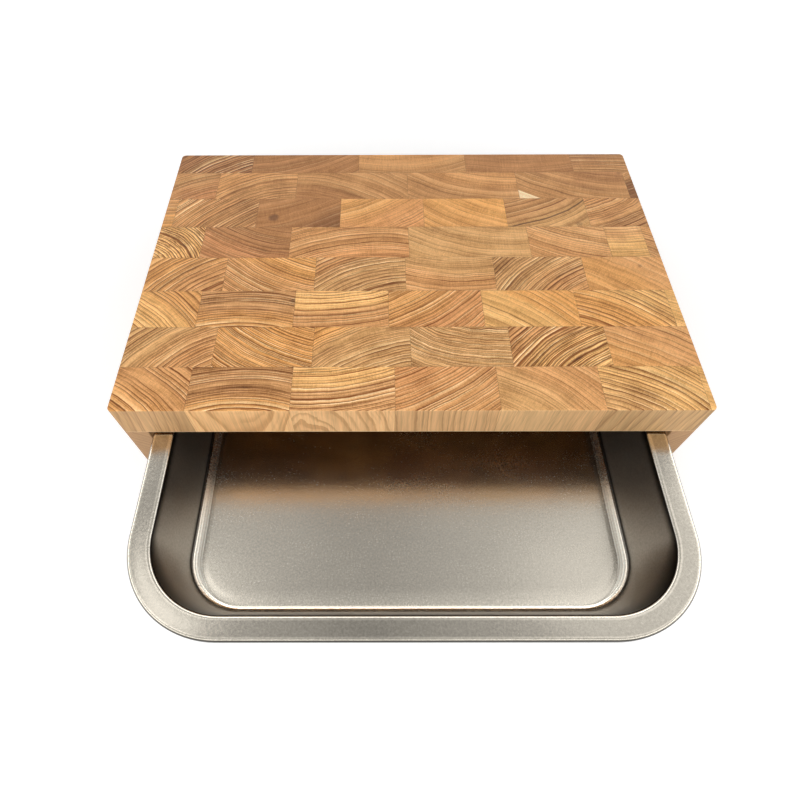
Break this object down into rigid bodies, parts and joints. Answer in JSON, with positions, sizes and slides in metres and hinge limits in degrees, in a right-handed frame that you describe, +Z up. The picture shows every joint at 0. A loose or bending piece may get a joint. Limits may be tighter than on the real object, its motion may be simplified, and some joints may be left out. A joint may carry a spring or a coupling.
{
  "type": "cutting board with drawer tray",
  "caption": "End-grain wooden cutting board on a low wooden carcass, with a deep-drawn steel tray that slides out from under it to catch what is cut.",
  "frame": {"origin": "on the table, in the middle of the footprint of the board and the drawn-out tray together", "axes": "+X to the right of someone facing the tray, -Y towards that person, the way the tray is pulled, +Z up out of the work surface"},
  "size_m": [0.45, 0.4646, 0.096],
  "materials": {
    "board_wood": "oiled end grain, blocks of mixed honey, tan and rust tones",
    "carcass_wood": "oiled, planed",
    "runner_wood": "planed, unfinished beech",
    "tongue_wood": "plain beech, glued in",
    "tray_steel": "satin deep-drawn stainless steel",
    "zinc_steel": "bright zinc plated",
    "foot_rubber": "matte moulded rubber"
  },
  "bodies": {
    "carcass": {"board_row_1": "board_wood", "board_row_2": "board_wood", "board_row_3": "board_wood", "board_row_4": "board_wood", "board_row_5": "board_wood", "board_row_6": "board_wood", "board_row_7": "board_wood", "board_row_8": "board_wood", "left_side_panel": "carcass_wood", "right_side_panel": "carcass_wood", "back_panel": "carcass_wood", "left_runner": "runner_wood", "right_runner": "runner_wood", "left_side_tongue": "tongue_wood", "right_side_tongue": "tongue_wood", "back_tongue": "tongue_wood", "left_runner_screws": "zinc_steel", "right_runner_screws": "zinc_steel", "feet": "foot_rubber"},
    "tray": {"tray": "tray_steel"}
  },
  "joints": [
    {"name": "tray_slide", "type": "slide", "parent": "carcass", "child": "tray", "axis": [0, -1, 0], "range_m": [-0.144, 0.135]}
  ]
}
